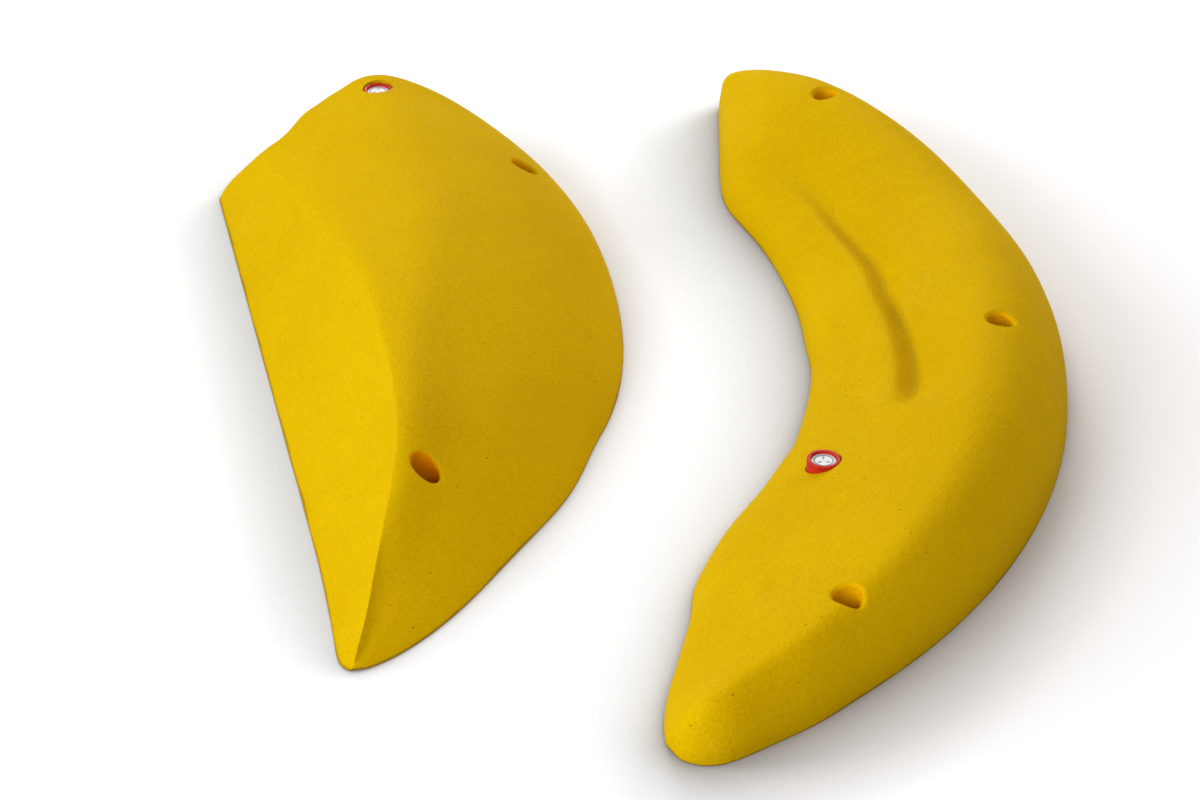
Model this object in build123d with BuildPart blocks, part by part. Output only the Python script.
from build123d import *

# Pair of large bolt-on climbing holds, a half-moon and a crescent, lying side by side on their flat backs.

import os
from math import cos, exp, radians, sin

os.makedirs("parts", exist_ok=True)

# ---------------------------------------------------------------- driving dimensions (mm)
WALL = 13.0             # thickness of the cast shell over the hollow back

BOLT_HOLE_R = 5.5       # washer hole, clearance for an M10 bolt
WELL_R = 10.0           # well that takes the bolt's head and its key
MOUTH_ROUNDING = 3.2    # soft edge where the well meets the skin
WASHER_R = 14.0
WASHER_THICK = 3.0
WASHER_TOP = 24.0       # height of the washers' upper faces above the flat back
TOWER_R = 23.0          # solid boss around each bolt inside the hollow back
CAST_HOLE_R = 7.0       # hole through the casting below the washer
OVER_TOP = 120.0        # tool length that clears the highest crest
SKIRT = 1.0             # how far the lofts start below the flat back, to be trimmed off flat

BADGE_R = 12.5          # badge cup
BADGE_RIM = 3.0         # width of the cup's rim
BADGE_DEPTH = 10.0      # from the badge's level down to its pocket's floor
BADGE_PROUD = 2.5       # from the badge's level up to its rim
BADGE_CLEARANCE = 0.8   # gap between the cup and its pocket's wall
BADGE_BACKING = 6.0     # casting left under and around the pocket, inside the hollow
DISC_R = 9.2
DISC_THICK = 2.5
DISC_RECESS = 2.0       # depth of the disc's face below the rim
RIM_ROUNDING = 0.8
BACK_ROUNDING = 10.0    # soft edge of the half-moon's cut end

# Homes of the two holds in the shared frame. The crescent's own frame has its pivot at the origin,
# the half-moon's own frame has its straight base edge along Y.
CRESCENT_HOME = Location((-249.13, 25.48, 0.0), (0, 0, -4.0))
HALF_MOON_HOME = Location((-195.83, -367.92, 0.0), (0, 0, 12.83))

# Bolt centres in each hold's own frame, and each badge's centre and level: the crescent's badge stands
# out of its skin, and the half-moon's lies sunk in its skin.
CRESCENT_BOLTS = {"near": (426.0, -378.0), "mid": (538.5, -39.5), "far": (401.0, 355.0)}
HALF_MOON_BOLTS = {"near": (84.0, 144.0), "far": (249.5, 592.0)}
CRESCENT_BADGE = (407.8, -187.8, 49.0)
HALF_MOON_BADGE = (147.3, 718.4, 70.5)

FROM_BELOW = (Align.CENTER, Align.CENTER, Align.MIN)
FROM_ABOVE = (Align.CENTER, Align.CENTER, Align.MAX)

# ---------------------------------------------------------------- crescent shape
# Each station: angle about the pivot in degrees, inner radius, outer radius, crest height, where the crest
# stands as a fraction of the width from the inner edge, groove depth, and where the groove's bottom lies as a
# fraction of the way from the inner edge to the crest.
CRESCENT_STATIONS = [
    (-56.7, 562, 576, 14, 0.60, 0, 0.60),
    (-56.2, 551, 587, 31, 0.66, 0, 0.60),
    (-55.0, 533, 596, 43, 0.75, 0, 0.60),
    (-52.5, 507, 599, 51, 0.81, 0, 0.60),
    (-49.0, 478, 599, 57, 0.84, 0, 0.60),
    (-44.5, 446, 598, 64, 0.86, 0, 0.60),
    (-40.0, 421, 597, 69, 0.86, 0, 0.60),
    (-35.0, 407, 597, 75, 0.84, 0, 0.60),
    (-30.0, 401, 597, 79, 0.81, 0, 0.60),
    (-25.0, 399, 597, 82, 0.78, 0, 0.61),
    (-20.0, 398, 597, 85, 0.74, 0, 0.62),
    (-16.5, 399, 597, 87, 0.72, 1, 0.63),
    (-13.5, 398, 597, 87, 0.71, 9, 0.62),
    (-10.0, 397, 597, 88, 0.70, 13, 0.60),
    (-5.0, 397, 597, 89, 0.68, 14, 0.55),
    (0.0, 398, 597, 88, 0.67, 14, 0.50),
    (6.0, 397, 596, 86, 0.66, 13, 0.46),
    (12.0, 398, 594, 82, 0.66, 12, 0.45),
    (18.0, 401, 591, 77, 0.67, 10, 0.42),
    (25.0, 406, 588, 76, 0.69, 8, 0.38),
    (32.0, 413, 588, 78, 0.69, 4, 0.35),
    (38.0, 420, 590, 78, 0.67, 0, 0.31),
    (44.0, 439, 593, 75, 0.62, 0, 0.32),
    (49.0, 475, 596, 64, 0.55, 0, 0.34),
    (52.5, 508, 597, 52, 0.48, 0, 0.36),
    (55.0, 536, 592, 41, 0.40, 0, 0.38),
    (56.2, 551, 580, 33, 0.36, 0, 0.40),
    (56.7, 559, 570, 12, 0.36, 0, 0.40),
]
GROOVE_WALL = 0.075     # width of the groove's steep inner wall, as a fraction of the way to the crest
BEFORE_GROOVE = [0.28, 0.62]
AFTER_GROOVE = [(0.25, 0.60), (0.52, 0.22), (0.80, 0.0)]    # way from groove to crest, share of its depth
OUTER_FLANK = [(0.42, 0.925), (0.76, 0.66), (0.945, 0.31)]  # way from crest to outer edge, share of height

# ---------------------------------------------------------------- half-moon shape
# Each station: place along the straight edge, near edge across, ridge height, ridge softness, crest across,
# crest height, far edge across, fullness of the dome from 0 (a straight flank) to 1 (a quarter round).
HALF_MOON_STATIONS = [
    (-13, 1, 4, 1.0, 6, 4.2, 14, 0.9),
    (-8, -3, 7, 1.5, 8, 7.2, 27, 0.7),
    (6, -5, 14, 2.0, 15, 14.3, 50, 0.5),
    (40, -3, 27, 2.5, 29, 27.3, 89, 0.35),
    (90, -1, 45, 3, 48, 45.4, 133, 0.3),
    (140, 0, 62, 3, 65, 62.4, 176, 0.3),
    (190, 0, 73, 3, 77, 73.5, 210, 0.35),
    (250, 0, 79, 4, 86, 80, 242, 0.4),
    (320, 0, 81, 4, 102, 83, 272, 0.5),
    (390, 0, 81, 5, 122, 85, 289, 0.6),
    (460, 0, 76, 5, 140, 84, 298, 0.7),
    (530, 0, 69, 5, 148, 82, 300, 0.8),
    (600, 0, 58, 5, 150, 80, 293, 0.85),
    (670, 0, 43, 5, 150, 78, 276, 0.85),
    (780, 0, 24, 5, 154, 73, 250, 0.85),
]
RISE_POWER = 1.6        # how quickly the dome levels out above the ridge
RISE_STEPS = [0.12, 0.35, 0.68]
FLANK_STEPS = [0.25, 0.5, 0.72, 0.88, 0.97]

# The half-moon's cut end at its foot, from the corner of the facet round to the dome's own edge.
END_WALL = [(-12, 655), (-3, 681), (12, 700), (34, 703), (55, 706), (75, 724), (96, 747), (122, 763),
            (150, 765), (180, 752), (212, 724), (240, 690), (268, 650), (300, 600)]
END_WALL_RISE = (0, -0.22, 1)    # the direction in which the cut end rises, leaning in over the dome


def inner_rise(f):
    """Height of the crescent's inner slope as a share of the crest's: a steep edge, then a long shelf."""
    return 1 - (1 - f) ** 1.6 * (0.66 + 0.47 * f + 0.34 * exp(-f / 0.06))


def crescent_section(angle, inner, outer, crest, crest_at, depth, groove_at, inset=0.0):
    """One radial section of the crescent, or its inset copy for the hollow, which clears the groove."""
    a = radians(angle)
    plane = Plane(origin=(0, 0, 0), x_dir=(cos(a), sin(a), 0), z_dir=(sin(a), -cos(a), 0))
    start = inner + 1.3 * inset
    end = outer - inset
    peak = start + crest_at * (end - start)
    top = crest - inset
    if inset:
        top = top - 1.5 * depth
        depth = 0.0
    lip = groove_at - GROOVE_WALL
    dips = [(lip * f, 0.0) for f in BEFORE_GROOVE] + [(lip, 0.0), (groove_at, 1.0)]
    dips = dips + [(groove_at + f * (1 - groove_at), share) for f, share in AFTER_GROOVE]
    points = [(start - SKIRT, -SKIRT)]
    for across, share in dips:
        points.append((start + across * (peak - start), inner_rise(across) * top - share * depth))
    points.append((peak, top))
    for across, height in OUTER_FLANK:
        points.append((peak + across * (end - peak), height * top))
    points.append((end, -SKIRT))
    with BuildSketch(plane) as section:
        with BuildLine():
            Spline(*points)
            Line(points[-1], points[0])
        make_face()
    return section.sketch


def half_moon_section(along, near, ridge, softness, crest_at, crest, far, fullness, inset=0.0):
    """One section across the half-moon's straight edge, or its inset copy for the hollow."""
    plane = Plane(origin=(0, along, 0), x_dir=(1, 0, 0), z_dir=(0, -1, 0))
    start = near + 1.6 * inset
    edge = far - 1.2 * inset
    crest_at = crest_at + 0.8 * inset
    crest = crest - inset
    ridge = ridge - near - 0.8 * inset
    foot = (start - SKIRT, -SKIRT)
    facet_end = (start + ridge - softness, ridge - softness)
    points = [facet_end]
    for f in RISE_STEPS:
        across = start + ridge + f * (crest_at - start - ridge)
        points.append((across, crest - (crest - ridge) * (1 - f) ** RISE_POWER))
    points.append((crest_at, crest))
    for f in FLANK_STEPS:
        height = crest * ((1 - fullness) * (1 - f) + fullness * (1 - f ** 2.2) ** 0.6)
        points.append((crest_at + f * (edge - crest_at), height))
    points.append((edge, -SKIRT))
    with BuildSketch(plane) as section:
        with BuildLine():
            Line(foot, facet_end)
            Spline(*points)
            Line(points[-1], foot)
        make_face()
    return section.sketch


def bolt_hole_tool(spots):
    """Everything cut away around the bolts below the skin: head wells, washer seats and the holes below."""
    with BuildPart() as tool:
        with Locations([(x, y, WASHER_TOP) for x, y in spots]):
            Cylinder(WELL_R, OVER_TOP, align=FROM_BELOW)
            Cylinder(WASHER_R, WASHER_THICK, align=FROM_ABOVE)
        with Locations(*spots):
            Cylinder(CAST_HOLE_R, 2 * WASHER_TOP)
    return tool


def badge_floor(badge, below=0.0):
    """The middle of the floor of a badge's pocket, or a point below it."""
    x, y, z = badge
    return (x, y, z - BADGE_DEPTH - below)


def well_mouths(casting):
    """The edges where the bolts' wells come out through the skin."""
    rims = casting.edges(Select.LAST).filter_by(GeomType.LINE, reverse=True)
    return rims.filter_by(lambda edge: edge.center().Z > WASHER_TOP + WELL_R)


def washer_solid(x, y):
    with BuildPart() as washer:
        with BuildSketch(Plane.XY.offset(WASHER_TOP - WASHER_THICK)):
            with Locations((x, y)):
                Circle(WASHER_R)
                Circle(BOLT_HOLE_R, mode=Mode.SUBTRACT)
        extrude(amount=WASHER_THICK)
    return washer


def badge_pieces(badge):
    """The cup and the disc of one badge, standing in its pocket."""
    x, y, floor = badge_floor(badge)
    height = BADGE_DEPTH + BADGE_PROUD
    with BuildPart() as cup:
        with BuildSketch(Plane.XY.offset(floor)):
            with Locations((x, y)):
                Circle(BADGE_R)
        extrude(amount=height)
        with BuildSketch(Plane.XY.offset(floor + height - DISC_RECESS - DISC_THICK)):
            with Locations((x, y)):
                Circle(BADGE_R - BADGE_RIM)
        extrude(amount=height, mode=Mode.SUBTRACT)
        fillet(cup.faces().sort_by(Axis.Z)[-1].edges(), RIM_ROUNDING)
    with BuildPart() as disc:
        with BuildSketch(Plane.XY.offset(floor + height - DISC_RECESS - DISC_THICK)):
            with Locations((x, y)):
                Circle(DISC_R)
        extrude(amount=DISC_THICK)
    return cup, disc


def write(piece, name, home):
    """Put a finished piece in its hold's place, label it and write its file."""
    piece.part.move(home)
    piece.part.label = name
    export_step(piece.part, f"parts/{name}.step")


# ---------------------------------------------------------------- crescent hold
crescent_wells = bolt_hole_tool(CRESCENT_BOLTS.values())

with BuildPart() as crescent_hollow:
    for station in CRESCENT_STATIONS[3:-3]:
        add(crescent_section(*station, inset=WALL))
    loft()
    with Locations(*CRESCENT_BOLTS.values()):
        Cylinder(TOWER_R, 2 * OVER_TOP, mode=Mode.SUBTRACT)
    with Locations(badge_floor(CRESCENT_BADGE, BADGE_BACKING)):
        Cylinder(BADGE_R + BADGE_BACKING, OVER_TOP, align=FROM_BELOW, mode=Mode.SUBTRACT)

with BuildPart() as crescent_casting:
    for station in CRESCENT_STATIONS:
        add(crescent_section(*station))
    loft()
    split(bisect_by=Plane.XY, keep=Keep.TOP)
    with Locations(badge_floor(CRESCENT_BADGE)):
        Cylinder(BADGE_R + BADGE_CLEARANCE, OVER_TOP, align=FROM_BELOW, mode=Mode.SUBTRACT)
    with Locations([(x, y, WASHER_TOP) for x, y in CRESCENT_BOLTS.values()]):
        Cylinder(WELL_R, OVER_TOP, align=FROM_BELOW, mode=Mode.SUBTRACT)
    fillet(well_mouths(crescent_casting), MOUTH_ROUNDING)
    add(crescent_hollow.part, mode=Mode.SUBTRACT)
    add(crescent_wells.part, mode=Mode.SUBTRACT)

crescent_cup, crescent_disc = badge_pieces(CRESCENT_BADGE)
write(crescent_casting, "crescent_casting", CRESCENT_HOME)
write(crescent_cup, "crescent_badge_cup", CRESCENT_HOME)
write(crescent_disc, "crescent_badge_disc", CRESCENT_HOME)
for place, (x, y) in CRESCENT_BOLTS.items():
    write(washer_solid(x, y), f"crescent_washer_{place}", CRESCENT_HOME)

# ---------------------------------------------------------------- half-moon hold
half_moon_wells = bolt_hole_tool(HALF_MOON_BOLTS.values())

with BuildPart() as half_moon_hollow:
    for station in HALF_MOON_STATIONS[3:-1]:
        add(half_moon_section(*station, inset=WALL))
    loft()
    with Locations(*HALF_MOON_BOLTS.values()):
        Cylinder(TOWER_R, 2 * OVER_TOP, mode=Mode.SUBTRACT)
    with Locations(badge_floor(HALF_MOON_BADGE, BADGE_BACKING)):
        Cylinder(BADGE_R + BADGE_BACKING, OVER_TOP, align=FROM_BELOW, mode=Mode.SUBTRACT)

with BuildPart() as half_moon_casting:
    for station in HALF_MOON_STATIONS:
        add(half_moon_section(*station))
    loft()
    split(bisect_by=Plane.XY, keep=Keep.TOP)
    with BuildSketch(Plane.XY.offset(-SKIRT)) as plan:
        with BuildLine():
            end_wall = Spline(*END_WALL)
            Polyline(end_wall @ 1, (600, 600), (600, -300), (-300, -300), (-300, 655), end_wall @ 0)
        make_face()
    extrude(amount=OVER_TOP, dir=END_WALL_RISE, mode=Mode.INTERSECT)
    end_face = half_moon_casting.faces().sort_by(Axis.Y)[-1]
    fillet(end_face.edges().sort_by(Axis.Z)[1:], BACK_ROUNDING)
    with Locations(badge_floor(HALF_MOON_BADGE)):
        Cylinder(BADGE_R + BADGE_CLEARANCE, OVER_TOP, align=FROM_BELOW, mode=Mode.SUBTRACT)
    with Locations([(x, y, WASHER_TOP) for x, y in HALF_MOON_BOLTS.values()]):
        Cylinder(WELL_R, OVER_TOP, align=FROM_BELOW, mode=Mode.SUBTRACT)
    fillet(well_mouths(half_moon_casting), MOUTH_ROUNDING)
    add(half_moon_hollow.part, mode=Mode.SUBTRACT)
    add(half_moon_wells.part, mode=Mode.SUBTRACT)

half_moon_cup, half_moon_disc = badge_pieces(HALF_MOON_BADGE)
write(half_moon_casting, "half_moon_casting", HALF_MOON_HOME)
write(half_moon_cup, "half_moon_badge_cup", HALF_MOON_HOME)
write(half_moon_disc, "half_moon_badge_disc", HALF_MOON_HOME)
for place, (x, y) in HALF_MOON_BOLTS.items():
    write(washer_solid(x, y), f"half_moon_washer_{place}", HALF_MOON_HOME)
